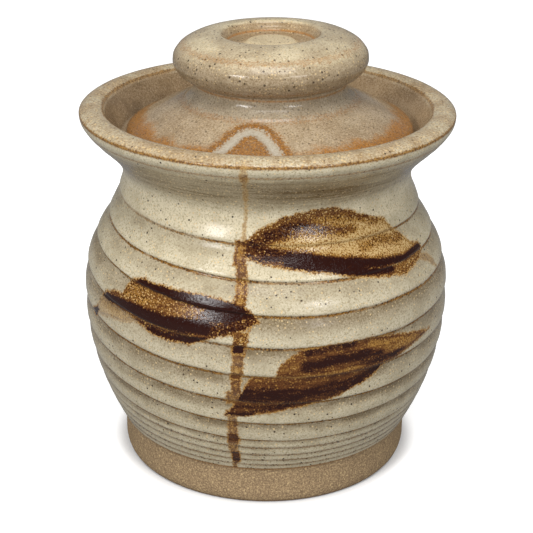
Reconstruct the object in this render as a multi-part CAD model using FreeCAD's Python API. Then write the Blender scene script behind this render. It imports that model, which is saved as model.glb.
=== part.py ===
"""Lidded stoneware jar: a thrown pot with finger ridges and a flared rim, and a domed lid with a bun knob.

Millimetres, +Z up.  The origin is the centre of the flat underside, and the front faces -Y.
Two solids are written: parts/jar.step and parts/lid.step.
"""
import FreeCAD, Part
import math
import os

# Jar: the outside, from the underside up
foot_radius = 52.5           # bare clay band at the bottom
foot_height = 14.3           # top of the band, where the glaze stops
foot_taper = 1.3             # how far the band draws in where it stands
foot_round_height = 4.0      # height over which it draws in
body_step = 0.6              # how far the ridged body starts outside the band
belly_radius = 65.8          # widest place
belly_height = 61.0
neck_radius = 51.1           # narrowest place, under the rim
jar_height = 130.9           # crest of the lip
flare_height = 22.5          # from the neck up to the lip's outer edge
flare_reach = 14.6           # how far the rim stands out past the neck

# Jar: finger ridges
wide_ridge_depth = 0.6
wide_ridge_pitch = 10.2
wide_ridge_count = 6
fine_ridge_depth = 0.25      # close, shallow ridges between the wide ones and the foot
fine_ridge_pitch = 4.2
ridge_top_drop = 5.8         # from the neck down to the uppermost groove

# Jar: lip, wall, and the gallery that carries the lid
lip_width = 7.8
lip_rise = 2.0               # crest above the lip's outer edge
lip_crest_inset = 4.7        # crest inside the lip's outer edge
lip_inner_drop = 0.5         # lip's inner edge below the crest
lip_round = 1.1              # rounding under the lip's inner edge
wall = 6.4
floor_thickness = 8.0
floor_corner = 14.0          # sweep between the floor and the wall, inside
gallery_depth = 11.3         # from the crest of the lip down to the ledge
gallery_outset = 0.45        # gallery's corner outside the neck's radius
ledge_width = 6.0

# Lid: edge, dome, collar and stem
lid_rim_gap = 1.2            # round the lid's edge, at the gallery's corner
lid_shift = 0.9              # the lid lies this far to +X in its gallery
lid_wall = 5.6
lid_edge_height = 4.8        # from the seat up to the shoulder of the dome
lid_seat_inset = 1.5         # seat's outer corner inside the lid's edge
lid_ledge_lap = 0.3          # seat's inner corner outside the ledge's inner one
shoulder_inset = 3.0         # shoulder of the dome inside the lid's edge
dome_rise = 8.2              # from the shoulder up to the foot of the collar
dome_crown = 0.4             # how far the dome's side bulges
stem_radius = 26.7           # narrowest place, under the knob
collar_flare = 3.5           # how far the collar's foot stands out past the stem
collar_rise = 5.6            # from the collar's foot up to the narrowest place
collar_bead = 0.9            # small bead at the collar's foot

# Knob: a ring of elliptical section, filled in but for the hollow in its top
knob_radius = 33.7
knob_height = 17.4
knob_lift = 0.3              # knob's underside above the narrowest place of the stem
hollow_radius = 17.2
hollow_brim = 1.8            # from the hollow's edge out to the knob's crest
hollow_brim_drop = 0.4       # hollow's edge below the crest
hollow_slope = 3.1           # how far the hollow's side draws in
hollow_depth = 3.7
button_inset = 4.7           # button's edge inside the hollow's floor
button_rise = 0.5

AXIS_FOOT = FreeCAD.Vector(0, 0, 0)
AXIS_UP = FreeCAD.Vector(0, 0, 1)


def spot(radius, height):
    """A point of a profile: distance from the axis, and height."""
    return FreeCAD.Vector(radius, 0, height)


def between(low, high, share):
    """A value part of the way from one to another."""
    return low + (high - low) * share


def line(start, end):
    return Part.LineSegment(start, end).toShape()


def arc(start, middle, end):
    return Part.Arc(start, middle, end).toShape()


def curve(points, start_way, end_way):
    """A smooth curve through points, leaving and arriving along the given directions."""
    spline = Part.BSplineCurve()
    spline.interpolate(Points=points, InitialTangent=start_way, FinalTangent=end_way)
    return spline.toShape()


def turned(edges):
    """The solid made by turning a closed profile, its edges in order, round the axis."""
    profile = Part.Face(Part.Wire(edges))
    return profile.revolve(AXIS_FOOT, AXIS_UP, 360)


# Jar: what follows from the sizes above
lip_edge_height = jar_height - lip_rise
neck_height = lip_edge_height - flare_height
rim_radius = neck_radius + flare_reach
body_start_radius = foot_radius + body_step
stand_radius = foot_radius - foot_taper
ledge_height = jar_height - gallery_depth
gallery_radius = neck_radius + gallery_outset
ledge_inner_radius = gallery_radius - ledge_width


def body_radius(height):
    """Outside radius of the body at a height, over the crests of its ridges."""
    if height <= belly_height:
        share = (belly_height - height) / (belly_height - foot_height)
        return between(belly_radius, body_start_radius, share ** 2)
    share = (height - belly_height) / (neck_height - belly_height)
    drawn_in = math.sin(math.pi / 2 * share ** 1.45) ** 2
    return between(belly_radius, neck_radius, drawn_in)


def flare_radius(height):
    """Outside radius of the flared rim at a height."""
    share = (height - neck_height) / flare_height
    return neck_radius + flare_reach * (1 - math.cos(math.pi * share)) / 2


def grooves():
    """Bottoms of the grooves from the foot up: close and shallow at first, then wide apart."""
    top = neck_height - ridge_top_drop
    wide = [top - wide_ridge_pitch * turn for turn in range(wide_ridge_count + 1)]
    wide = [height for height in wide if height > foot_height + fine_ridge_pitch]
    room = wide[-1] - foot_height
    fine_count = max(1, round(room / fine_ridge_pitch))
    fine = [foot_height + room * step / fine_count for step in range(1, fine_count)]
    return ([spot(body_radius(height) - fine_ridge_depth, height) for height in fine]
            + [spot(body_radius(height) - wide_ridge_depth, height) for height in wide[::-1]])


def foot_band():
    """Edges up the bare clay band, from where the jar stands."""
    stand = spot(stand_radius, 0)
    bulge = spot(between(stand_radius, foot_radius, 0.7), foot_round_height * 0.45)
    low = spot(foot_radius, foot_round_height)
    return [arc(stand, bulge, low), line(low, spot(foot_radius, foot_height))]


def ridged_body():
    """Edges over the finger ridges, one arc to a ridge, and on to the neck."""
    valleys = [spot(foot_radius, foot_height)] + grooves()
    edges = []
    for low, high in zip(valleys, valleys[1:]):
        crest_height = between(low.z, high.z, 0.5)
        edges.append(arc(low, spot(body_radius(crest_height), crest_height), high))
    top = valleys[-1]
    run_out = between(top.z, neck_height, 0.5)
    edges.append(curve([top, spot(body_radius(run_out), run_out), spot(neck_radius, neck_height)],
                       spot(-0.4, 1), AXIS_UP))
    return edges


def flared_rim():
    """The edge from the neck out to the lip."""
    heights = [neck_height + flare_height * step / 4 for step in range(5)]
    return [curve([spot(flare_radius(height), height) for height in heights], AXIS_UP, AXIS_UP)]


def lip_and_gallery():
    """Edges over the lip, down the gallery's wall and across the ledge."""
    inner_radius = rim_radius - lip_width
    outer = spot(rim_radius, lip_edge_height)
    crest = spot(rim_radius - lip_crest_inset, jar_height)
    inner = spot(inner_radius, jar_height - lip_inner_drop)
    turning = spot(inner_radius - lip_round * 0.5, inner.z - lip_round * 0.35)
    under = spot(inner_radius - lip_round * 0.7, inner.z - lip_round)
    corner = spot(gallery_radius, ledge_height)
    return [curve([outer, crest, inner], spot(-0.5, 1), spot(-1, -0.35)),
            arc(inner, turning, under),
            line(under, corner),
            line(corner, spot(ledge_inner_radius, ledge_height))]


def inner_wall():
    """Edges from the ledge down the inner wall to the middle of the floor."""
    neck = spot(neck_radius - wall, neck_height)
    corner_top = floor_thickness + floor_corner
    heights = [between(neck_height, corner_top, step / 5) for step in range(1, 6)]
    side = [spot(body_radius(height) - wall, height) for height in heights]
    floor_edge = spot(side[-1].x - floor_corner, floor_thickness)
    down = spot(0, -1)
    return [curve([spot(ledge_inner_radius, ledge_height), neck], spot(-0.05, -1), down),
            curve([neck] + side + [floor_edge], down, spot(-1, 0)),
            line(floor_edge, spot(0, floor_thickness))]


def make_jar():
    """The pot, in one piece: foot band, ridged body, neck, flared rim and gallery."""
    floor = [line(spot(0, floor_thickness), AXIS_FOOT), line(AXIS_FOOT, spot(stand_radius, 0))]
    return turned(foot_band() + ridged_body() + flared_rim() + lip_and_gallery() + inner_wall() + floor)


# Lid: what follows from the sizes above and from the jar's gallery
lid_radius = gallery_radius - lid_rim_gap
seat_height = ledge_height
seat_outer_radius = lid_radius - lid_seat_inset
seat_inner_radius = ledge_inner_radius + lid_ledge_lap
shoulder_height = seat_height + lid_edge_height
collar_foot_height = shoulder_height + dome_rise
collar_radius = stem_radius + collar_flare
stem_height = collar_foot_height + collar_rise
underside_height = collar_foot_height - lid_wall
knob_middle_height = stem_height + knob_lift + knob_height / 2
knob_top_height = knob_middle_height + knob_height / 2
knob_ring_radius = hollow_radius + hollow_brim
hollow_floor_height = knob_top_height - hollow_depth
hollow_floor_radius = hollow_radius - hollow_slope


def lid_dome():
    """Edges from the seat's outer corner up over the lid's edge and the dome to the collar."""
    seat_outer = spot(seat_outer_radius, seat_height)
    low = spot(lid_radius - lid_seat_inset * 0.25, seat_height + lid_edge_height * 0.12)
    rim = spot(lid_radius, seat_height + lid_edge_height * 0.42)
    high = spot(lid_radius - shoulder_inset * 0.22, seat_height + lid_edge_height * 0.72)
    shoulder = spot(lid_radius - shoulder_inset, shoulder_height)
    collar_foot = spot(collar_radius, collar_foot_height)
    middle = (shoulder + collar_foot) * 0.5 + spot(0, dome_crown)
    return [arc(seat_outer, low, rim), arc(rim, high, shoulder), arc(shoulder, middle, collar_foot)]


def lid_stem():
    """Edges over the collar's bead and up its flare to the narrowest place and the knob."""
    foot = spot(collar_radius, collar_foot_height)
    bead = spot(collar_radius - collar_bead, collar_foot_height + collar_bead)
    middle = spot(between(stem_radius, collar_radius, 0.3), between(collar_foot_height, stem_height, 0.45))
    stem = spot(stem_radius, stem_height)
    return [line(foot, bead), curve([bead, middle, stem], spot(-1, 1), AXIS_UP), line(stem, knob_underside())]


def knob_underside():
    """Where the stem meets the knob's elliptical section."""
    reach = knob_radius - knob_ring_radius
    turn = math.acos((stem_radius - knob_ring_radius) / reach)
    return spot(stem_radius, knob_middle_height - knob_height / 2 * math.sin(turn))


def lid_knob():
    """Edges round the knob from its underside to its crest, then across the hollow in its top."""
    crest = spot(knob_ring_radius, knob_top_height)
    section = Part.Ellipse(spot(knob_radius, knob_middle_height), crest,
                           spot(knob_ring_radius, knob_middle_height))
    start = section.parameter(knob_underside())
    end = section.parameter(crest)
    brim = spot(hollow_radius, knob_top_height - hollow_brim_drop)
    side_foot = spot(hollow_floor_radius, hollow_floor_height)
    side = spot(between(side_foot.x, brim.x, 0.6), between(side_foot.z, brim.z, 0.45))
    button_foot = spot(hollow_floor_radius - button_inset, hollow_floor_height)
    button_top = spot(0, hollow_floor_height + button_rise)
    return [section.toShape(start - 2 * math.pi, end),
            line(crest, brim),
            arc(brim, side, side_foot),
            line(side_foot, button_foot),
            curve([button_foot, button_top], spot(-1, 1), spot(-1, 0))]


def lid_underside():
    """Edges from the axis down the hollow underside of the dome and across the seat."""
    top = spot(0, underside_height + lid_wall * 0.45)
    high = spot(stem_radius, underside_height + lid_wall * 0.18)
    low = spot(seat_inner_radius - 1, between(seat_height, shoulder_height, 0.65))
    seat_inner = spot(seat_inner_radius, seat_height)
    return [line(spot(0, hollow_floor_height + button_rise), top),
            curve([top, high, low, seat_inner], spot(1, 0), spot(0.3, -1)),
            line(seat_inner, spot(seat_outer_radius, seat_height))]


def make_lid():
    """The lid, in one piece: edge, dome, collar, stem and knob."""
    lid = turned(lid_dome() + lid_stem() + lid_knob() + lid_underside())
    lid.translate(FreeCAD.Vector(lid_shift, 0, 0))
    return lid


def main():
    os.makedirs("parts", exist_ok=True)
    for name, solid in (("jar", make_jar()), ("lid", make_lid())):
        solid.exportStep("parts/" + name + ".step")
        print(name, solid.ShapeType, solid.isValid(), "volume cm3", round(solid.Volume / 1000, 1))


main()
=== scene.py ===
"""Lidded stoneware jar: a thrown pot with finger ridges and brushed leaves, and its domed lid.

Metres, +Z up.  The origin is the centre of the flat underside, and the front faces -Y.
"""
import bmesh
import bpy
import math
import numpy as np
from mathutils import Matrix, Vector
from mathutils.geometry import interpolate_bezier


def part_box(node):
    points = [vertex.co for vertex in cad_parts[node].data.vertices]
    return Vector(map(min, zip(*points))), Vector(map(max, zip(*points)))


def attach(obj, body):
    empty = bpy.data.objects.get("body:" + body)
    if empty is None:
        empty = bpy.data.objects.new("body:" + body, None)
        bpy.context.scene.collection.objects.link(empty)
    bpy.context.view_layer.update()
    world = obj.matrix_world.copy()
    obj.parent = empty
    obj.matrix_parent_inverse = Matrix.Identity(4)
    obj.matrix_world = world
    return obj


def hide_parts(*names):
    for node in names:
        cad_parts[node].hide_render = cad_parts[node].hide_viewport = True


bl_info = {
    "name": "Lidded Stoneware Jar",
    "version": (1, 0, 0),
    "blender": (4, 5, 0),
    "location": "3D View > Sidebar > Jar",
    "description": "Models a thrown and glazed jar with brushed leaves, its lid and a studio stage",
    "category": "Add Mesh",
}

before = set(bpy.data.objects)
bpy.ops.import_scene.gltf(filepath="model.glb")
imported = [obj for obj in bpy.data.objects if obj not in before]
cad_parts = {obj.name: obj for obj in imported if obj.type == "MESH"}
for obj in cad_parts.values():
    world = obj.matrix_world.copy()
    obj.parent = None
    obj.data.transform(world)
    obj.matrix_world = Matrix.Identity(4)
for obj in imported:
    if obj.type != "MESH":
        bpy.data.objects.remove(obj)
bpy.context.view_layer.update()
jar_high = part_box("jar")[1]
lid_low, lid_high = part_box("lid")

MM = 0.001
BODY = "root"
JAR_STEPS = 384              # vertices round the jar
LID_STEPS = 288
SKIN = 0.00003               # how far the skin stays inside the frame's box
WELD = 0.000002              # vertices closer than this become one

# Heights of the creases between finger ridges at the front, from the neck down to the foot, in mm
CREASES = (108.4, 97.8, 87.4, 77.5, 66.7, 56.0, 46.0, 37.2, 29.3, 25.9, 22.6, 19.7, 17.0, 14.9)
FIRST_FINE = 8               # from this crease down the ridges are narrow
# Where the rows of vertices lie between one crease and the next
ROWS = (0.0, 0.03, 0.08, 0.14, 0.21, 0.29, 0.38, 0.48,
        0.58, 0.67, 0.75, 0.81, 0.86, 0.91, 0.955, 0.985)


# ---------------------------------------------------------------- sizes and colours

def setting(name, description, default, **kind):
    return bpy.props.FloatProperty(name=name, description=description, default=default, **kind)


def length(name, description, default):
    return setting(name, description, default, min=0.0, unit="LENGTH", subtype="DISTANCE")


def share(name, description, default):
    return setting(name, description, default, min=0.0, max=1.0, subtype="FACTOR")


def turn(name, description, degrees):
    return setting(name, description, math.radians(degrees), unit="ROTATION", subtype="ANGLE")


def colour(name, description, default):
    return bpy.props.FloatVectorProperty(name=name, description=description, default=default,
                                         min=0.0, max=1.0, size=3, subtype="COLOR")


class JarSizes(bpy.types.PropertyGroup):
    belly_radius: length("Belly radius", "Widest place of the body", jar_high.x - SKIN)
    belly_height: length("Belly height", "Height of the widest place", 61.0 * MM)
    foot_radius: length("Foot radius", "Bare clay band at the bottom", 52.5 * MM)
    foot_height: length("Foot height", "Where the glaze stops", 14.3 * MM)
    neck_radius: length("Neck radius", "Narrowest place under the rim", 51.1 * MM)
    neck_height: length("Neck height", "Height of the narrowest place", 106.4 * MM)
    rim_radius: length("Rim radius", "Outer edge of the lip", 65.65 * MM)
    rim_height: length("Rim height", "Outer edge of the lip", 128.9 * MM)
    top_height: length("Top height", "Crest of the lip", jar_high.z - SKIN)
    wall: length("Wall", "Thickness of the wall", 6.4 * MM)
    ledge_height: length("Ledge height", "Ledge that carries the lid", lid_low.z)
    ridge_depth: length("Ridge depth", "Depth of the creases between finger ridges", 0.8 * MM)


class LidSizes(bpy.types.PropertyGroup):
    centre: setting("Centre", "How far the lid lies to +X in its gallery",
                    (lid_low.x + lid_high.x) / 2, unit="LENGTH")
    radius: length("Radius", "Edge of the lid", (lid_high.x - lid_low.x) / 2 - SKIN)
    top_height: length("Top height", "Crest of the knob", lid_high.z - SKIN)
    knob_radius: length("Knob radius", "Widest place of the knob", 33.9 * MM)
    knob_height: length("Knob height", "From the knob's underside to its crest", 17.4 * MM)
    stem_radius: length("Stem radius", "Narrowest place under the knob", 26.7 * MM)
    hollow_radius: length("Hollow radius", "Hollow in the knob's top", 17.2 * MM)
    lean: turn("Lean", "How far the lid leans up to +X", 0.85)


class GlazeColours(bpy.types.PropertyGroup):
    cream: colour("Cream", "Thin glaze over the ridges", (0.600, 0.530, 0.375))
    # On the jar, part of this grey under the creases, in the neck and low down is painted shade.
    grey: colour("Grey", "Thicker glaze under each crease", (0.215, 0.160, 0.090))
    rust: colour("Rust", "Glaze broken thin over an edge", (0.330, 0.130, 0.020))
    edge: colour("Edge", "Thin line of glaze along a crease", (0.120, 0.050, 0.014))
    tan: colour("Tan", "Glaze on the rim and the lid", (0.405, 0.290, 0.168))
    fleck: colour("Fleck", "Small golden flecks", (0.680, 0.500, 0.260))
    speck: colour("Speck", "Iron specks", (0.045, 0.028, 0.018))
    pool: colour("Pool", "Pale glaze pooled in the arch on the lid", (0.385, 0.335, 0.250))
    clay: colour("Clay", "Bare clay of the foot", (0.300, 0.205, 0.115))
    iron_dark: colour("Dark iron", "Thick brushwork", (0.020, 0.003, 0.001))
    iron_brown: colour("Brown iron", "Brushwork of middling thickness", (0.118, 0.042, 0.010))
    iron_gold: colour("Golden iron", "Thin brushwork", (0.345, 0.180, 0.038))
    iron_light: colour("Light iron", "Grains of glaze that show through the brushwork",
                       (0.560, 0.395, 0.180))
    roughness: share("Roughness", "Roughness of the glaze", 0.14)


class StageSettings(bpy.types.PropertyGroup):
    camera_distance: length("Camera distance", "From the middle of the jar", 0.5208)
    camera_lift: turn("Camera lift", "Angle above the horizon", 23.0)
    camera_roll: turn("Camera roll", "Turn of the camera about its line of sight", 0.55)
    target_height: length("Target height", "Height that the camera looks at", 0.0683)
    lens: setting("Lens", "Focal length in millimetres", 96.12)
    shift: setting("Shift", "Sideways lens shift", 0.0008)
    key_power: setting("Key power", "Large lamp on the left", 5.4, unit="POWER")
    fill_power: setting("Fill power", "Large lamp on the right", 3.5, unit="POWER")
    top_power: setting("Top power", "Large lamp overhead", 11.2, unit="POWER")
    sky: share("Sky", "Strength of the even light from all round", 0.25)


# ---------------------------------------------------------------- shapes

def smoothstep(value, low, high):
    """0 below low, 1 above high, and a smooth rise between."""
    part = np.clip((np.asarray(value, float) - low) / (high - low), 0.0, 1.0)
    return part * part * (3.0 - 2.0 * part)


def by(point, out, up):
    """The place that lies out and up from a point by so many millimetres."""
    return point[0] + out * MM, point[1] + up * MM


class Profile:
    """A turned piece's outline: (radius, height) points in metres, drawn from one to the next."""

    def __init__(self, radius, height):
        self.points = [(radius, height)]

    @property
    def end(self):
        return self.points[-1]

    def line(self, end, rows):
        (x, z), (end_x, end_z) = self.end, end
        self.points += [(x + (end_x - x) * step / rows, z + (end_z - z) * step / rows)
                        for step in range(1, rows + 1)]

    def curve(self, leaving, arriving, end, rows):
        """One Bezier run to its end, with the handles by which it leaves and arrives."""
        knots = [Vector(point) for point in (self.end, leaving, arriving, end)]
        self.points += [tuple(point) for point in interpolate_bezier(*knots, rows + 1)][1:]


def turned(name, profile, steps):
    """A mesh made by spinning a profile round the Z axis, welded and closed."""
    bm = bmesh.new()
    verts = [bm.verts.new((radius, 0.0, height)) for radius, height in profile.points]
    edges = [bm.edges.new(pair) for pair in zip(verts, verts[1:])]
    bmesh.ops.spin(bm, geom=verts + edges, cent=(0, 0, 0), axis=(0, 0, 1), angle=2 * math.pi,
                   steps=steps, use_merge=True)
    bmesh.ops.remove_doubles(bm, verts=bm.verts, dist=WELD)
    bmesh.ops.recalc_face_normals(bm, faces=bm.faces)
    mesh = bpy.data.meshes.new(name)
    bm.to_mesh(mesh)
    bm.free()
    mesh.polygons.foreach_set("use_smooth", [True] * len(mesh.polygons))
    return mesh


def mesh_points(mesh):
    points = np.empty(len(mesh.vertices) * 3)
    mesh.vertices.foreach_get("co", points)
    return points.reshape(-1, 3)


def move_points(mesh, points):
    mesh.vertices.foreach_set("co", points.ravel())
    mesh.update()


def write_attribute(mesh, name, values):
    layer = mesh.attributes.new(name, "FLOAT", "POINT")
    layer.data.foreach_set("value", np.asarray(values, np.float32))


def place(name, mesh, material, node):
    """Adds the finished piece at the origin.  It rides on the body and replaces its node."""
    mesh.materials.append(material)
    piece = bpy.data.objects.new(name, mesh)
    bpy.context.scene.collection.objects.link(piece)
    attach(piece, BODY)
    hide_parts(node)


# ---------------------------------------------------------------- jar: the form

def body_radius(height, jar):
    """Outside radius of the body at a height, over its ridges."""
    low_radius = jar.foot_radius + 0.6 * MM
    below = (jar.belly_height - height) / (jar.belly_height - jar.foot_height)
    above = np.clip((height - jar.belly_height) / (jar.neck_height - jar.belly_height), 0.0, 1.0)
    swell = jar.belly_radius - (jar.belly_radius - low_radius) * below ** 2
    waist = np.sin(math.pi / 2 * above ** 1.45) ** 2
    drawn_in = jar.belly_radius - (jar.belly_radius - jar.neck_radius) * waist
    shoulder = 0.7 * MM * np.exp(-((height - 100 * MM) / (4.5 * MM)) ** 2)
    return np.where(height < jar.belly_height, swell, drawn_in + shoulder)


def flare_radius(height, jar):
    """Outside radius from the neck out to the lip."""
    part = np.clip((height - jar.neck_height) / (jar.rim_height - jar.neck_height), 0.0, 1.0)
    opened = (1 - np.cos(math.pi * part ** 1.12)) / 2
    return jar.neck_radius + (jar.rim_radius - jar.neck_radius) * opened


def outside_radius(height, jar):
    return np.where(height < jar.neck_height, body_radius(height, jar), flare_radius(height, jar))


def crease_number(height):
    """How many creases down from the neck a height lies, counted along the front."""
    return np.interp(-np.asarray(height) / MM, [-h for h in CREASES], range(len(CREASES)))


def crease_height(number):
    return np.interp(number, range(len(CREASES)), CREASES) * MM


def swirl(angle):
    """Share of a turn by which rows of vertices follow the spiral.  They let go at the back."""
    held = math.radians(140)
    back = (math.pi - np.abs(angle)) / (math.pi - held)
    return np.where(np.abs(angle) < held, angle, np.sign(angle) * held * back) / (2 * math.pi)


def dip(angle):
    """How far a crease rises from its lowest place, which is just right of the front."""
    lowest = math.radians(15)
    rise = np.cos(lowest) - np.cos(angle - lowest)
    at_side = np.cos(lowest)
    return 4.7 * MM * np.where(rise < at_side, rise, at_side + (rise - at_side) * 0.35)


def dip_weight(number):
    """How much of that rise each crease has: little by the neck and by the foot."""
    return np.interp(number, (0, 1, 2, 3, 8, 12, 13), (0, 0.25, 0.5, 1.0, 1.0, 0.15, 0))


def waver(angle, number):
    """Small unevenness of the creases' heights."""
    slow = np.sin(3 * angle + 1.7 * number) + 0.6 * np.sin(7 * angle + 2.9 * number)
    quick = 0.35 * np.sin(17 * angle + 4.1 * number)
    return 0.16 * MM * (slow + quick)


def crease_depth(angle, number, jar):
    """Depth of the creases: none at the neck, shallow by the foot, and uneven round the jar."""
    depth = np.interp(number, (0.3, 0.9, 1.2, 7.5, 8.3, 11, 12.5), (0, 0.7, 1, 1, 0.4, 0.3, 0))
    uneven = 1 + 0.25 * np.sin(2 * angle + number) + 0.15 * np.sin(5 * angle - 2 * number)
    return depth * jar.ridge_depth * uneven


def ridge_drop(part, sharp):
    """How far in the surface lies, from 0 on a crest to 1, between one crease and the next down."""
    below = 1.0 - smoothstep(part, 0.0, 0.62)
    above = smoothstep(part, 1.0 - 0.11 / sharp, 1.0)
    return np.maximum(below, above)


def neck_lines(angle, height, jar):
    """Fine lines that fingers left round the neck, as deep as 0.12 mm."""
    lines = 0.12 * MM * np.sin((height - jar.neck_height) / MM * 1.15 + 0.7 * np.sin(angle))
    lines = lines * smoothstep(height, jar.neck_height - 4 * MM, jar.neck_height + 2 * MM)
    lines = lines * (1 - smoothstep(height, jar.rim_height - 7 * MM, jar.rim_height - 4 * MM))
    return np.abs(lines)


def shape_jar(mesh, jar):
    """Moves the pot's outside onto its spiral of ridges, and notes where each crease runs."""
    x, y, z = mesh_points(mesh).T
    radius = np.hypot(x, y)
    angle = np.arctan2(x, -y)
    outer = (z > jar.foot_height) & (radius > outside_radius(z, jar) - jar.wall / 3)
    on_body = outer & (z < CREASES[0] * MM - SKIN) & (z > CREASES[-1] * MM + SKIN)
    number = crease_number(z)
    hold = smoothstep(number, 0.0, 1.0) * (1 - smoothstep(number, 11.5, 13.0))
    followed = np.where(on_body, number + swirl(angle) * hold, number)
    raised = (dip(angle) + waver(angle, followed)) * dip_weight(followed) * hold
    height = np.where(on_body, crease_height(followed) + raised, z)
    part = np.mod(followed - angle / (2 * math.pi), 1.0)
    behind = smoothstep(np.abs(angle), math.radians(120), math.radians(150))
    drop = ridge_drop(part, 1.0 - 0.4 * behind) * crease_depth(angle, followed, jar)
    new_radius = np.where(on_body, outside_radius(height, jar) - drop, radius)
    new_radius = np.where(outer, new_radius - neck_lines(angle, height, jar), new_radius)
    unround = 0.04 * MM * (1 - np.cos(2 * angle - 0.8)) + 0.02 * MM * (1 - np.sin(3 * angle))
    new_radius = new_radius - np.where(radius > 20 * MM, unround, 0.0)
    scale = new_radius / np.maximum(radius, SKIN)
    move_points(mesh, np.stack((x * scale, y * scale, height), axis=1))
    write_attribute(mesh, "crease_number", np.where(outer, followed, 0.0))
    write_attribute(mesh, "outside", outer)
    return angle, height, outer


def jar_profile(jar):
    """The pot, from the middle of its underside round to the middle of its floor inside."""
    foot = (jar.foot_radius, 0.0)
    band_top = (jar.foot_radius, jar.foot_height - 0.3 * MM)
    lowest = (float(body_radius(CREASES[-1] * MM, jar)), CREASES[-1] * MM)
    profile = Profile(0.0, 0.0)
    profile.line((jar.foot_radius - 1.3 * MM - 1.0 * MM, 0.0), 4)
    profile.curve(by(foot, -1.3, 0), by(foot, -0.3, 1.2), by(foot, 0, 4.0), 8)
    profile.line(band_top, 7)
    profile.curve(by(band_top, 0, 0.2), (jar.foot_radius + 0.5 * MM, jar.foot_height), lowest, 3)
    numbers = []
    for crease in range(len(CREASES) - 2, -1, -1):
        rows = ROWS if crease < FIRST_FINE else ROWS[::4] + (0.92,)
        numbers += [crease + row for row in reversed(rows)]
    heights = [float(crease_height(number)) for number in numbers]
    profile.points += [(float(outside_radius(height, jar)), height) for height in heights]
    under_lip = jar.rim_height - 4.2 * MM
    heights = [heights[-1] + (under_lip - heights[-1]) * step / 20 for step in range(1, 21)]
    profile.points += [(float(flare_radius(height, jar)), height) for height in heights]
    draw_lip(profile, jar)
    draw_inside(profile, jar)
    return profile


def draw_lip(profile, jar):
    """From the line under the lip, up its outer side and over its crest to its inner edge."""
    rim = (jar.rim_radius, jar.rim_height)
    crest = (jar.rim_radius, jar.top_height)
    inner = (jar.rim_radius - 7.8 * MM, jar.top_height)
    profile.line(by(profile.end, 0.35, 0.7), 2)
    profile.curve(by(profile.end, 1.0, 1.0), by(rim, -0.1, -1.4), by(rim, 0, -0.3), 5)
    profile.curve(by(rim, 0, 0.3), by(rim, -0.4, 0.5), by(rim, -0.9, 0.9), 3)
    profile.curve(by(crest, -2.2, -0.1), by(crest, -3.4, 0), by(crest, -4.7, 0), 5)
    profile.curve(by(crest, -6.0, 0), by(inner, 0.3, -0.3), by(inner, -0.2, -0.8), 6)


def draw_inside(profile, jar):
    """Down the gallery's wall, over the ledge, and down inside to the middle of the floor."""
    gallery = (jar.neck_radius + 0.45 * MM, jar.ledge_height)
    ledge = (gallery[0] - 6.0 * MM, jar.ledge_height)
    neck = (jar.neck_radius - jar.wall, jar.neck_height)
    floor = 8.0 * MM
    corner = 14.0 * MM
    profile.points += [(jar.rim_radius - 8.8 * MM, jar.top_height - 2.0 * MM)]
    profile.line(by(gallery, 0.4, 0.8), 7)
    profile.curve(by(gallery, 0.1, 0.1), by(gallery, -0.2, 0), by(gallery, -0.9, 0), 3)
    profile.line(by(ledge, 0.5, 0), 2)
    profile.curve(ledge, by(ledge, 0, -0.1), by(ledge, 0, -0.8), 3)
    profile.curve(by(ledge, 0, -6), by(neck, 0, 5), neck, 5)
    heights = [neck[1] + (floor + corner - neck[1]) * step / 12 for step in range(1, 13)]
    profile.points += [(float(body_radius(height, jar)) - jar.wall, height) for height in heights]
    side = profile.end[0]
    profile.curve(by(profile.end, -2.0, -8.0), (side - 6.5 * MM, floor), (side - corner, floor), 6)
    profile.line((0.0, floor), 5)


# ---------------------------------------------------------------- jar: the brushwork

# Outlines as (degrees round from the front, millimetres up)
LEAF_RIGHT = ((-8.5, 94.5), (-7, 99.5), (-3, 102.7), (5, 106.5), (11, 108.2), (20, 109.3),
              (26, 109.1), (32, 107), (40, 103.8), (48, 101.3), (51, 97.5), (55.5, 94.5),
              (59, 90.5), (63.5, 89.2), (64.3, 86.3), (60, 84.8), (55, 83.8), (50, 83.2),
              (40, 84.7), (30, 86.8), (20, 89.4), (10, 91), (0, 92.7))
LEAF_LEFT = ((-1.9, 75.8), (-5, 79.5), (-9, 81.4), (-20, 83.2), (-30, 82.9), (-41, 83.3),
             (-46, 82), (-48.5, 78), (-49, 75.8), (-53, 75.5), (-58, 73.3), (-60.7, 70.6),
             (-58, 69.6), (-48, 69.6), (-42, 68.5), (-36, 66.3), (-30, 65.3), (-22, 65.8),
             (-17.5, 68.5), (-10, 71.3), (-5, 73.5))
LEAF_LOW = ((-12.8, 40.4), (-10, 44), (-8, 48.5), (-5, 54.5), (-3, 56.3), (3.5, 56.6), (4, 60.5),
            (8, 64.3), (12, 66.1), (20, 66.9), (31, 66.9), (38, 65.5), (46, 63.4), (54, 61.4),
            (60.3, 59.8), (54, 59), (46, 57), (38, 55), (33, 51.9), (26, 49), (20, 46.7),
            (14, 44.9), (5, 43), (-5, 41.1))
TRAIL = ((61, 86), (66, 84.5), (70.3, 78.5), (69.3, 77.7), (65, 82), (61, 84.5))
BLOT = ((-68.8, 60.2), (-67, 63.6), (-62, 66.4), (-60.4, 66), (-62.5, 62.6), (-66.5, 60))
WASH = ((-62, 63.3), (-54, 65), (-46, 66.8), (-41, 68.6), (-50, 70.4), (-60, 70.2), (-63, 67))


def daub(angle, top, bottom, width, slant=0.0):
    """Outline of a short upright dab of the stem.  Its width and its slant are in degrees."""
    half = width / 2
    low = angle + slant
    return ((angle - half, top), (angle + half, top), (low + half, bottom), (low - half, bottom))


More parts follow.
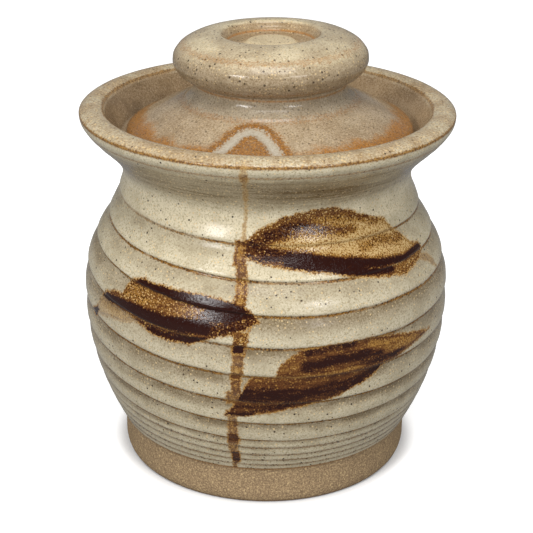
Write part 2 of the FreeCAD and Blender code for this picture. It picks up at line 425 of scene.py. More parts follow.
# Each shape: outline, tone from 0 (dark) to 1 (golden), cover from 0 (clear) to 1, grain from 0
# (even) to 1 (peppered), and the strokes laid on it.  Each stroke: path, half width in millimetres
# at its start and at its end, tone, and softness in millimetres.
SHAPES = (
    (WASH, 0.70, 0.50, 0.6, ()),
    (TRAIL, 0.74, 0.60, 0.5, ()),
    (BLOT, 0.12, 1.0, 0.3, ()),
    (LEAF_RIGHT, 0.85, 1.0, 0.9, (
        (((0, 101), (8, 105), (20, 107.6), (30, 106.4)), 2.7, 2.0, 0.44, 3.0),
        (((-5, 98.6), (3, 101.6), (12, 103.4), (20, 102.6), (27, 101.6), (33, 101.2)),
         2.5, 0.8, 0.24, 3.4),
        (((31, 105.6), (37, 103.8), (44, 101.6)), 1.2, 1.0, 0.42, 2.0),
        (((35, 94.8), (43, 95.3), (54, 93.4)), 0.9, 1.2, 0.50, 2.8),
        (((-7, 95.6), (4, 94.9), (16, 93.2)), 2.9, 2.3, 0.24, 1.8),
        (((38, 86.2), (50, 84.9), (62, 86.6)), 1.3, 1.5, 0.50, 1.0),
        (((8, 93.4), (20, 92.4), (30, 91.0), (40, 89.1), (52, 87.8), (63, 88.4)),
         2.3, 0.9, 0.06, 1.6),
        (((12, 91.8), (22, 90.1), (30, 88.4), (38, 86.7), (45, 85.8)), 1.5, 1.0, 0.06, 1.1))),
    (LEAF_LEFT, 0.51, 1.0, 0.9, (
        (((-45, 81.8), (-37, 82.0)), 1.3, 1.0, 0.38, 1.6),
        (((-34, 76.4), (-24, 76.6), (-15, 76)), 1.8, 3.0, 0.42, 2.6),
        (((-17, 75), (-4.5, 75.6)), 3.4, 3.4, 0.20, 2.6),
        (((-42, 82.0), (-30, 81.3), (-21, 80.8), (-8, 79.0)), 1.2, 2.5, 0.06, 1.5),
        (((-50, 70.2), (-36, 68.9), (-20, 69.6), (-13, 71.8)), 1.2, 2.6, 0.22, 1.2),
        (((-60, 71.6), (-45, 72.7), (-30, 72.2), (-18, 72.8)), 1.7, 2.2, 0.04, 1.4),
        (((-37, 67.0), (-28, 66.4), (-20, 67.6)), 0.9, 1.3, 0.10, 0.9),
        (((-52, 70.3), (-38, 69.3), (-26, 68.8), (-14, 70.2)), 0.3, 0.25, 0.50, 0.7))),
    (LEAF_LOW, 0.39, 1.0, 0.5, (
        (((34, 63), (46, 61.2), (60, 60)), 3.0, 1.8, 0.57, 2.4),
        (((12, 64.8), (18, 65.6), (27, 65.6)), 1.1, 0.8, 0.18, 1.4),
        (((4, 60), (12, 61.2), (15, 62.6)), 2.0, 1.4, 0.46, 1.4),
        (((12, 60.4), (22, 61), (31, 61.2), (36, 60)), 2.0, 1.3, 0.15, 2.6),
        (((30, 58.6), (38, 57.8), (45, 58.4)), 1.3, 0.9, 0.22, 1.2),
        (((0, 54.2), (15, 54), (33, 54.8)), 1.6, 1.4, 0.36, 2.2),
        (((-9, 50), (8, 49.4), (27, 51), (36, 54.4)), 2.9, 1.7, 0.17, 3.0),
        (((-10, 43.2), (0, 43.8), (14, 46)), 1.6, 0.9, 0.28, 0.9),
        (((-12.5, 41), (-4, 41.6)), 0.7, 0.5, 0.12, 0.8),
        (((46, 57.5), (54, 59.4), (60, 60.1)), 0.45, 0.3, 0.30, 0.6),
        (((-9, 46.7), (3, 46.2), (15, 45.8)), 0.2, 0.2, 0.42, 0.5),
        (((-2, 56.2), (14, 56.4), (30, 57)), 0.4, 0.5, 0.58, 0.8))),
    (daub(-6.2, 129.5, 115, 1.4, -0.8), 0.82, 0.62, 0.4, ()),
    (daub(-6.4, 126.5, 123, 1.9), 0.72, 0.85, 0.4, ()),
    (daub(-7.0, 115, 99, 1.2, -1.2), 0.84, 0.70, 0.4, ()),
    (daub(-8.8, 99.8, 92.2, 3.9, -0.2), 0.57, 1.0, 0.5, (
        (((-7.4, 99.2), (-7.6, 92.6)), 0.8, 0.6, 0.50, 1.2),)),
    (daub(-7.8, 92.7, 88.4, 3.0), 0.58, 0.95, 0.3, (
        (((-8.6, 89.9), (-7, 89.9)), 0.8, 0.8, 0.42, 0.8),)),
    (daub(-7.5, 88.6, 80.3, 3.4), 0.63, 1.0, 0.6, (
        (((-6.4, 88.2), (-6.4, 84.6)), 0.5, 0.4, 0.50, 1.0),)),
    (daub(-6.8, 72.5, 67.3, 4.0, -0.6), 0.58, 1.0, 0.8, ()),
    (daub(-8.0, 67.9, 64.6, 4.2, 0.3), 0.14, 1.0, 0.5, ()),
    (daub(-7.8, 65.0, 60.2, 3.2), 0.54, 0.90, 0.3, (
        (((-9, 64.6), (-8.4, 60.6)), 0.6, 0.4, 0.44, 0.8),)),
    (daub(-8.0, 60.8, 57, 3.0), 0.68, 0.94, 0.5, ()),
    (daub(-8.4, 57.4, 54.8, 3.2), 0.32, 1.0, 0.3, ()),
    (daub(-8.3, 55.2, 49.8, 2.5), 0.58, 0.95, 0.5, ()),
    (daub(-9.7, 50.4, 45.4, 3.6), 0.50, 0.92, 0.4, ()),
    (daub(-10.0, 40.8, 32.4, 2.8), 0.62, 0.88, 0.5, (
        (((-9.2, 40), (-9.2, 33)), 0.4, 0.5, 0.46, 0.7),)),
    (daub(-10.0, 32.8, 27.8, 3.8), 0.34, 1.0, 0.3, ()),
    (daub(-10.5, 28.4, 23.8, 3.0), 0.60, 0.90, 0.5, ()),
    (daub(-9.9, 24.4, 17.8, 3.0), 0.24, 1.0, 0.3, ()),
    (daub(-10.4, 18.2, 14.6, 1.5, -0.6), 0.46, 0.92, 0.3, ()),
)
GIRTH = 1.12                 # millimetres of surface to a degree, near the middle of the body
BRUSHED_SIDE = 80            # degrees round from the front within which all the brushwork lies

# What the mesh notes about the brushwork, with the values of a place that has none
UNPAINTED = {"brush_edge": -50.0, "brush_tone": 0.7, "brush_cover": 0.7, "brush_grain": 0.5}


def flat_points(points):
    return np.array([(angle * GIRTH, height) for angle, height in points])


def edge_distance(where, outline):
    """Distance in millimetres from a closed outline, more than 0 inside it."""
    corners = flat_points(outline)
    inside = np.zeros(len(where), bool)
    nearest = np.full(len(where), 1e9)
    for start, end in zip(corners, np.roll(corners, -1, axis=0)):
        nearest = np.minimum(nearest, line_distance(where, start, end)[0])
        across = (start[1] > where[:, 1]) != (end[1] > where[:, 1])
        rise = end[1] - start[1]
        sideways = (end[0] - start[0]) * (where[:, 1] - start[1]) / (rise if rise else 1e-9)
        inside ^= across & (where[:, 0] < start[0] + sideways)
    return np.where(inside, nearest, -nearest)


def line_distance(where, start, end):
    """Distance from a straight line, and how far along it the nearest point lies, from 0 to 1."""
    way = end - start
    along = np.clip(((where - start) @ way) / (way @ way), 0.0, 1.0)
    return np.hypot(*(where - start - along[:, None] * way).T), along


def stroke_strength(where, path, half_start, half_end, soft):
    """1 within a brush stroke of a shape, falling to 0 past its soft edge."""
    corners = flat_points(path)
    strength = np.zeros(len(where))
    count = len(corners) - 1
    for step in range(count):
        distance, along = line_distance(where, corners[step], corners[step + 1])
        half = half_start + (half_end - half_start) * (step + along) / count
        strength = np.maximum(strength, 1 - smoothstep(distance, half - soft / 2, half + soft / 2))
    return strength


def paint_jar(mesh, angle, height, outer):
    """Notes the brushwork on the mesh: distance inside its edge, tone, cover and grain."""
    near = outer & (np.abs(angle) < math.radians(BRUSHED_SIDE))
    where = np.stack((np.degrees(angle[near]) * GIRTH, height[near] / MM), axis=1)
    edge, tone, cover, grain = (np.full(len(where), value) for value in UNPAINTED.values())
    for outline, shape_tone, shape_cover, shape_grain, strokes in SHAPES:
        distance = edge_distance(where, outline)
        own_tone = np.full(len(where), shape_tone)
        for path, half_start, half_end, stroke_tone, soft in strokes:
            strength = stroke_strength(where, path, half_start, half_end, soft)
            own_tone = own_tone + (stroke_tone - own_tone) * strength
        ahead = (distance > edge) | (distance > 1.0)
        tone = np.where(ahead, own_tone, tone)
        cover = np.where(ahead, shape_cover, cover)
        grain = np.where(ahead, shape_grain, grain)
        edge = np.maximum(edge, distance)
    for (name, value), painted in zip(UNPAINTED.items(), (edge, tone, cover, grain)):
        whole = np.full(len(angle), value)
        whole[near] = painted
        write_attribute(mesh, name, whole)


# ---------------------------------------------------------------- lid

# The arch on the dome, seen from above: millimetres to the right and to the front of the lid's axis
ARCH = ((-21.0, 44.3), (-16.8, 41.5), (-14.2, 39.8), (-11.5, 37.1), (-9.1, 35.1), (-6.4, 34.4),
        (-3.6, 35.5), (-1.2, 38.2), (1.0, 41.8), (2.7, 44.5), (4.0, 47.0))
UNDER_ARCH = (-6.4, 43.6)
FAR = 99.0                   # a distance, in mm, for what lies off the dome


def lid_profile(lid, seat):
    """The lid, from the middle of its underside round its edge and up to the middle of the knob."""
    edge = (lid.radius, seat)
    shoulder = (lid.radius - 3.0 * MM, seat + 4.8 * MM)
    collar = (lid.stem_radius + 3.5 * MM, shoulder[1] + 8.2 * MM)
    stem = (lid.stem_radius, collar[1] + 5.6 * MM)
    under = collar[1] - 5.6 * MM
    seat_inner = (45.85 * MM, seat)
    profile = Profile(0.0, under + 2.5 * MM)
    profile.curve((12 * MM, under + 2.5 * MM), (20 * MM, under + 2.0 * MM),
                  (lid.stem_radius, under + 1.0 * MM), 7)
    profile.curve((38 * MM, under - 1.5 * MM), by(seat_inner, -1.5, 4.0), by(seat_inner, 0, 0.5), 8)
    profile.curve(by(seat_inner, 0, 0.1), by(seat_inner, 0.2, 0), by(seat_inner, 0.6, 0), 2)
    profile.line(by(edge, -1.9, 0), 2)
    profile.curve(by(edge, -0.8, 0), by(edge, 0, 0.8), by(edge, 0, 1.9), 6)
    profile.curve(by(edge, 0, 3.2), by(edge, -1.2, 4.2), shoulder, 7)
    profile.curve(by(shoulder, -5, 2.6), by(collar, 6, -1.9), collar, 20)
    profile.curve(by(collar, -0.1, 0.5), by(collar, -0.6, 0.9), by(collar, -1.0, 1.2), 3)
    profile.curve((stem[0] + 1.2 * MM, collar[1] + 2.4 * MM), by(stem, 0, -2.0), stem, 9)
    draw_knob(profile, lid)
    return profile


def draw_knob(profile, lid):
    """From the top of the stem out round the knob, and over its crest into the hollow."""
    half = lid.knob_height / 2
    middle = lid.top_height - 0.3 * MM - half
    ring = lid.hollow_radius + 1.8 * MM
    reach = lid.knob_radius - ring
    start = math.acos((lid.stem_radius - ring) / reach)
    profile.line((lid.stem_radius, middle - half * math.sin(start)), 2)
    turns = [-start + (math.pi / 2 + start) * step / 36 for step in range(1, 37)]
    profile.points += [(ring + reach * math.cos(t), middle + half * math.sin(t)) for t in turns]
    draw_hollow(profile, lid, middle + half)


def draw_hollow(profile, lid, crest_height):
    """From the knob's crest down into the hollow in its top, and over the button in its middle."""
    crest = (lid.hollow_radius, crest_height)
    brim = by(crest, 0, -0.5)
    ring = by(crest, -1.6, -2.5)
    floor = by(crest, -3.4, -3.7)
    profile.curve(by(crest, 0.9, 0), by(crest, 0.3, -0.1), brim, 4)
    profile.curve(by(brim, -0.5, -0.7), by(ring, 0.2, 0.8), ring, 7)
    profile.curve(by(ring, -0.3, -0.8), by(floor, 0.6, 0), floor, 5)
    button = (0.0, floor[1])
    profile.line(by(button, 9.6, -0.1), 3)
    profile.curve(by(button, 8.8, 0), by(button, 8.6, 0.7), by(button, 7.6, 1.0), 4)
    profile.line(by(button, 0, 1.2), 6)


def shape_lid(mesh, lid, seat):
    """Presses the arch in, makes the lid a little uneven, leans it and lays it in place."""
    x, y, z = mesh_points(mesh).T
    radius = np.hypot(x, y)
    angle = np.arctan2(x, -y)
    dome = (z > seat + 3.5 * MM) & (radius > 28 * MM) & (z < seat + 14 * MM)
    plan = np.stack((x, -y), axis=1) / MM
    distance = np.full(len(x), FAR)
    corners = np.array(ARCH)
    for start, end in zip(corners, corners[1:]):
        distance = np.minimum(distance, line_distance(plan, start, end)[0])
    arch = np.where(dome, distance, FAR)
    under = np.where(dome, np.hypot(*(plan - np.array(UNDER_ARCH)).T), FAR)
    groove = 0.35 * MM * (1 - smoothstep(arch, 0.4, 2.2))
    lips = 0.15 * MM * np.exp(-((arch - 2.7) / 0.7) ** 2)
    knob_foot = lid.top_height - lid.knob_height
    knob = smoothstep(z, knob_foot, knob_foot + 3 * MM)
    z = z - (groove - lips)
    wobble = 0.05 * MM * np.sin(2 * angle + 0.6) + 0.03 * MM * np.sin(3 * angle + 2.0)
    outer = smoothstep(radius, 20 * MM, 26 * MM)
    rings = 0.05 * MM * knob * (1 + np.sin(z / MM * 2.1))
    shrink = 1 - (np.abs(wobble) * outer + rings) / np.maximum(radius, MM)
    x, y = x * shrink, y * shrink
    z = z + math.tan(lid.lean) * x * smoothstep(z, seat, seat + 4.5 * MM)
    move_points(mesh, np.stack((x + lid.centre, y, z), axis=1))
    for name, values in (("arch", arch), ("knob", knob), ("under_arch", under),
                         ("axis_distance", radius / MM)):
        write_attribute(mesh, name, values)


# ---------------------------------------------------------------- materials

class Value:
    """A number or colour that nodes work out.  Sums, products and the like add Math nodes."""

    def __init__(self, recipe, socket):
        self.recipe = recipe
        self.socket = socket

    def __add__(self, other):
        return self.recipe.calc("ADD", self, other)

    def __sub__(self, other):
        return self.recipe.calc("SUBTRACT", self, other)

    def __rsub__(self, other):
        return self.recipe.calc("SUBTRACT", other, self)

    def __mul__(self, other):
        return self.recipe.calc("MULTIPLY", self, other)

    def __truediv__(self, other):
        return self.recipe.calc("DIVIDE", self, other)


class Recipe:
    """A material's nodes.  Its methods add nodes and return what comes out of them."""

    def __init__(self, name):
        self.material = bpy.data.materials.new(name)
        self.material.use_nodes = True
        self.tree = self.material.node_tree
        self.shader = self.tree.nodes["Principled BSDF"]
        self.coordinates = self.tree.nodes.new("ShaderNodeTexCoord").outputs["Object"]

    def link(self, value, socket):
        if isinstance(value, Value):
            value = value.socket
        if isinstance(value, bpy.types.NodeSocket):
            self.tree.links.new(value, socket)
        elif socket.type == "RGBA":
            socket.default_value = (*value, 1.0)
        else:
            socket.default_value = value

    def node(self, kind, *values, **settings):
        """A node of a kind with its settings, and its first inputs filled in order."""
        node = self.tree.nodes.new("ShaderNode" + kind)
        for name, chosen in settings.items():
            setattr(node, name, chosen)
        for value, socket in zip(values, node.inputs):
            self.link(value, socket)
        return node

    def calc(self, operation, *values, clamp=False):
        node = self.node("Math", *values, operation=operation, use_clamp=clamp)
        return Value(self, node.outputs[0])

    def most(self, *values):
        """The largest of some values."""
        largest, *others = values
        for value in others:
            largest = self.calc("MAXIMUM", largest, value)
        return largest

    def fade(self, value, low, high, start=0.0, end=1.0):
        """start below low, end above high, with a smooth change between."""
        node = self.node("MapRange", value, low, high, start, end, interpolation_type="SMOOTHSTEP")
        return Value(self, node.outputs[0])

    def band(self, value, middle, half, soft, strength=1.0):
        """strength within half of the middle, falling to 0 past it."""
        distance = self.calc("ABSOLUTE", value - middle)
        return self.fade(distance, half, half + soft, strength, 0.0)

    def mix(self, factor, first, second, blend="MIX"):
        node = self.node("Mix", factor, data_type="RGBA", blend_type=blend)
        self.link(first, node.inputs[6])
        self.link(second, node.inputs[7])
        return Value(self, node.outputs[2])

    def stretched(self, across, along):
        """Coordinates for a pattern whose grains are longer one way."""
        node = self.node("Mapping", self.coordinates)
        node.inputs["Scale"].default_value = (across, across, along)
        return node.outputs[0]

    def noise(self, size, detail=2.0, rough=0.5, where=None):
        """Noise whose grains are about as large as size, in millimetres."""
        node = self.node("TexNoise", where or self.coordinates)
        node.inputs["Scale"].default_value = 1.0 / (size * MM)
        node.inputs["Detail"].default_value = detail
        node.inputs["Roughness"].default_value = rough
        return Value(self, node.outputs["Fac"])

    def ragged(self, size, detail, rough, low, high, swing):
        """Noise that swings a line to either side, by no more than swing millimetres."""
        return self.fade(self.noise(size, detail, rough), low, high, -swing, swing)

    def spots(self, size, chance, reach, soft=0.35):
        """Round spots, each in a cell of size millimetres; chance: the share of cells with one."""
        cells = self.node("TexVoronoi", self.coordinates)
        cells.inputs["Scale"].default_value = 1.0 / (size * MM)
        pick = self.node("SeparateColor", cells.outputs["Color"]).outputs
        wide = self.fade(pick[1], 0.0, 1.0, reach * 0.45, reach)
        disc = self.fade(cells.outputs["Distance"], wide * (1 - soft), wide, 1.0, 0.0)
        return disc * self.calc("LESS_THAN", pick[0], chance)

    def attribute(self, name):
        return Value(self, self.node("Attribute", attribute_name=name).outputs["Fac"])

    def axes(self):
        return [Value(self, axis) for axis in self.node("SeparateXYZ", self.coordinates).outputs]

    def ramp(self, value, stops):
        node = self.node("ValToRGB", value)
        elements = node.color_ramp.elements
        while len(elements) < len(stops):
            elements.new(0.5)
        for element, (position, tint) in zip(elements, stops):
            element.position = position
            element.color = (*tint, 1.0)
        return Value(self, node.outputs[0])

    def finish(self, tint, roughness, height, strength, reach):
        bump = self.node("Bump")
        bump.inputs["Strength"].default_value = strength
        bump.inputs["Distance"].default_value = reach * MM
        self.link(height, bump.inputs["Height"])
        for name, value in (("Base Color", tint), ("Roughness", roughness),
                            ("Specular IOR Level", 0.25), ("Normal", bump.outputs[0])):
            self.link(value, self.shader.inputs[name])
        return self.material


class Glaze(Recipe):
    """What the glazes of the jar and of the lid share."""

    def __init__(self, name, colours):
        super().__init__(name)
        self.colours = colours
        self.x, self.y, z = self.axes()
        self.height = z / MM

    def speckle(self, ground, calm, flecks=0.55, specks=0.24, reach=0.28):
        """Sandy grain, golden flecks and iron specks over a ground.  calm holds them back."""
        fade, mix = self.fade, self.mix
        self.grain = self.noise(0.6, 2.0, 0.75)
        cloud = self.noise(7.0, 3.0, 0.55)
        dark = mix(1.0, ground, (0.62, 0.58, 0.51), "MULTIPLY")
        light = mix(0.5, ground, self.colours.cream, "SCREEN")
        tint = mix(fade(self.grain, 0.51, 0.33, 0.0, 1.0), ground, dark)
        tint = mix(fade(self.grain, 0.52, 0.70, 0.0, 0.45), tint, light)
        tint = mix(fade(cloud, 0.42, 0.70, 0.0, 0.40), tint, dark)
        bold = self.calc("SUBTRACT", 1.0, calm)
        golden = self.spots(1.0, flecks, 0.37) * (bold * 0.75)
        tint = mix(golden, tint, self.colours.fleck)
        self.dots = self.spots(1.6, specks, reach, 0.35) * bold
        return mix(self.dots * 0.95, tint, self.colours.speck)

    def gloss(self):
        return self.fade(self.grain, 0.35, 0.70, -0.05, 0.09) + self.colours.roughness


# Where the glaze of the jar changes, in millimetres
LIP_LINE = 128.7             # height of the brown line round the outer edge of the lip
UNDER_LIP_LINE = 124.9       # height of the fainter one below the lip
INNER_LIP_LINE = 57.4        # radius of the one round the lip's inner edge
GLAZE_EDGE = 14.2            # height where the glaze ends, over the bare foot


class JarGlaze(Glaze):
    """Oatmeal glaze that breaks brown over creases and lip, with iron brushwork and a bare foot."""

    def __init__(self, colours):
        super().__init__("jar_glaze", colours)
        self.outside = self.attribute("outside")
        self.crease = self.attribute("crease_number")
        around = self.calc("ARCTAN2", self.x, self.y * -1.0)
        self.part = self.calc("FRACT", self.crease - around / (2 * math.pi))
        self.ridged = self.outside * self.fade(self.crease, 0.7, 1.0)

    def ground(self):
        """The glaze before its specks: pale over the ridges and greyer where it pools. Some of the
        grey is painted shade, and the shoulder has painted light.
        """
        fade, mix, colours = self.fade, self.mix, self.colours
        height, crease = self.height, self.crease
        # How grey each ridge is, from the crease above it to the next: partly glaze pooled under
        # the crease, partly painted shade.
        greys = ((0.0, 1.0), (0.20, 0.92), (0.40, 0.62), (0.58, 0.20), (0.75, 0.0), (0.98, 0.0),
                 (1.0, 0.5))
        shade = self.ramp(self.part, [(down, (grey,) * 3) for down, grey in greys])
        shade = shade * fade(crease, 7.6, 8.8, 1.0, 0.6)
        shade = shade * fade(crease, 1.2, 3.6, 0.45, 1.0)
        drift = self.noise(9.0, 2.0, 0.5, self.stretched(0.5, 1.6))
        shade = shade * fade(drift, 0.30, 0.62, 0.55, 1.0)
        # Greyer towards the foot: partly the glaze, partly painted shade on the lower ridges.
        low_down = fade(crease, 4.0, 9.0, 0.0, 0.16)
        # Darker round the neck under the lip: partly glaze pooled there, partly painted shade.
        neck = fade(height, 107.0, 116.0) * fade(height, 127.5, 118.5)
        rings = self.noise(1.1, 2.0, 0.6, self.stretched(0.05, 1.0))
        neck = neck * fade(rings, 0.36, 0.60, 1.0, 0.62)
        # Where the glaze lies thick, and where shade is painted grey: under the creases, in the
        # neck and low down.
        pooled_and_shaded = self.most(shade * self.ridged, neck, low_down) * self.outside
        # Paler on the shoulder, where the ridge catches the light from above: painted light.
        shoulder = fade(height, 99.0, 103.0) * fade(height, 112.0, 107.0, 0.0, 0.75)
        # Darker over the middle of the body, to tone down the lamps' light there: painted shade.
        belly_shade = fade(crease, 2.0, 3.0) * fade(crease, 6.5, 5.0, 0.0, 0.25)
        # The pale glaze, with the painted light on the shoulder and the painted shade over the
        # middle mixed in.
        thin = mix(belly_shade, mix(shoulder, colours.cream, (0.74, 0.65, 0.46)), colours.pool)
        ground = mix(pooled_and_shaded, thin, colours.grey)
        # The neck darkened further: partly its glaze, partly painted shade under the lip.
        return mix(neck * self.outside, ground, (0.82, 0.78, 0.70), "MULTIPLY")

    def rim(self, ground):
        """Sandy brown glaze over the lip and browner patches down the gallery, under the specks."""
        fade, mix, height, colours = self.fade, self.mix, self.height, self.colours
        not_outside = self.calc("SUBTRACT", 1.0, self.outside)
        browned = self.calc("MAXIMUM", fade(height, 127.6, 129.0), not_outside, clamp=True)
        creamy = fade(self.noise(9.0, 2.0), 0.35, 0.65, 0.15, 0.70)
        rim_tint = mix(creamy, colours.tan, colours.cream)
        patches = self.noise(12.0, 2.0, 0.5)
        browner = fade(patches, 0.38, 0.62, 0.08, 0.42) + fade(self.x, 0.030, -0.045, 0.0, 0.34)
        wall_tint = mix(browner, colours.tan, mix(0.5, colours.grey, colours.edge))
        inner = fade(height, 129.6, 128.2)
        gallery = browned * inner
        tint = self.speckle(mix(browned, ground, mix(inner, rim_tint, wall_tint)), gallery * 0.75)
        crest = browned - gallery
        sandy = fade(self.noise(0.9, 2.0, 0.7), 0.52, 0.36) * crest
        tint = mix(sandy * 0.65, tint, mix(0.6, colours.iron_gold, colours.grey))
        golden = self.spots(1.2, 0.7, 0.45) * crest
        return mix(golden * 0.65, tint, colours.fleck)

    def lines(self, tint):
        """Thin brown lines with dark beads along the creases, and lines round the lip."""
        fade, mix, height, colours = self.fade, self.mix, self.height, self.colours
        pitch = fade(self.crease, 7.8, 8.6, 10.0, 3.1)
        ragged = self.ragged(0.9, 2.0, 0.6, 0.3, 0.7, 0.2)
        near = self.calc("MINIMUM", self.part, 1.0 - self.part) * pitch + ragged
        line = fade(near, 0.24, 0.66, 1.0, 0.0) * self.ridged
        line = line * fade(self.noise(7.0, 1.0), 0.34, 0.50, 0.6, 1.0)
        line = line * fade(self.crease, 8.0, 9.2, 1.0, 0.55)
        tint = mix(line, tint, mix(fade(self.grain, 0.4, 0.65), colours.edge, colours.iron_gold))
        beads = self.spots(1.0, 0.7, 0.52) * fade(near, 0.40, 0.90, 1.0, 0.0) * self.ridged
        tint = mix(beads * 0.85, tint, colours.speck)
        lip_line = self.most(self.band(height + ragged, LIP_LINE, 0.2, 0.6, 0.90),
                             self.band(height + ragged, UNDER_LIP_LINE, 0.1, 0.6, 0.55))
        reach = self.calc("SQRT", self.x * self.x + self.y * self.y) / MM + ragged
        near_top = fade(height, 128.5, 129.5, 0.0, 0.7)
        inner_line = self.band(reach, INNER_LIP_LINE, 0.15, 0.5) * near_top
        brown = mix(fade(self.grain, 0.42, 0.60), colours.edge, colours.iron_gold)
        return mix(self.most(lip_line * self.outside, inner_line), tint, brown)

    def brushwork(self, tint):
        """Iron brushed on in leaves and a stem: dark where it lies heavy, golden where it is thin.
        """
        fade, colours = self.fade, self.colours
        bristle = self.ragged(0.9, 2.0, 0.6, 0.25, 0.75, 0.42)
        swell = self.ragged(4.5, 1.0, 0.5, 0.3, 0.7, 0.22)
        frayed = self.attribute("brush_edge") + (bristle + swell)
        painted = fade(frayed, -0.75, 0.20)
        tone = self.most(self.attribute("brush_tone"), fade(frayed, 0.10, 0.62, 0.63, 0.0))
        rim = fade(frayed, 0.10, 0.45) * fade(frayed, 1.5, 0.6) * fade(tone, 0.40, 0.60)
        tone = tone - rim * 0.20
        mottle = self.noise(0.5, 1.0, 0.5)
        streak = self.noise(1.3, 2.0, 0.55, self.stretched(0.22, 1.0))
        tone = tone + fade(streak, 0.3, 0.7, -0.07, 0.07)
        freckles = self.spots(0.8, 0.9, 0.46)
        middling = fade(tone, 0.12, 0.26) * fade(tone, 0.68, 0.50)
        grains = fade(mottle, 0.52, 0.34) * fade(tone, 0.42, 0.60)
        beaded = freckles * middling * 0.42 - grains * 0.32 + fade(mottle, 0.34, 0.70, -0.07, 0.14)
        tone = self.calc("ADD", tone, beaded * self.attribute("brush_grain"), clamp=True)
        iron = self.ramp(tone, ((0.0, colours.iron_dark), (0.22, colours.iron_dark),
                                (0.42, colours.iron_brown), (0.66, colours.iron_gold),
                                (0.95, colours.iron_light)))
        self.iron_relief = (mottle + freckles) * (painted * 0.7)
        return self.mix(painted * self.attribute("brush_cover"), tint, iron)

    def foot(self, tint):
        """Bare, gritty clay below the glaze, with a rusty line where the two meet, and painted
        shade along its bottom edge.
        """
        fade, mix, height, colours = self.fade, self.mix, self.height, self.colours
        edge = height + self.ragged(3.0, 2.0, 0.5, 0.3, 0.7, 0.35)
        self.bare = 1.0 - fade(edge, GLAZE_EDGE, GLAZE_EDGE + 0.5)
        self.grit = self.noise(0.6, 3.0, 0.8)
        pale, dark = mix(0.6, colours.clay, colours.fleck), mix(0.5, colours.clay, colours.speck)
        clay = mix(fade(self.grit, 0.50, 0.64), colours.clay, pale)
        clay = mix(fade(self.grit, 0.49, 0.35, 0.0, 0.85), clay, dark)
        clay = mix(self.spots(1.4, 0.5, 0.34) * 0.6, clay, colours.fleck)
        clay = mix(self.dots * 0.7, clay, colours.speck)
        # The bottom 1.4 mm is darker: painted shade where the foot meets the floor.
        clay = mix(fade(height, 1.4, 0.5, 0.0, 0.75), clay, colours.edge)
        line = fade(height, 13.6, 14.3) * fade(height, 15.2, 14.5)
        return mix(line * 0.55, mix(self.bare, tint, clay), colours.rust)

    def fired(self):
        """The finished material, with one coat laid over the other."""
        tint = self.foot(self.brushwork(self.lines(self.rim(self.ground()))))
        roughness = self.mix(self.bare, self.gloss(), (0.85,) * 3)
        relief = self.grain * 0.5 + self.iron_relief + self.grit * self.bare - self.dots * 0.5
        return self.finish(tint, roughness, relief, 0.55, 0.16)


# Where rust rings the lid, in millimetres
HOLLOW_RING = 15.1           # radius of the ring inside the knob's hollow
COLLAR_RING = 30.6           # radius of the ring at the foot of the collar
STEM_RING = 138.6            # height of the ring under the knob


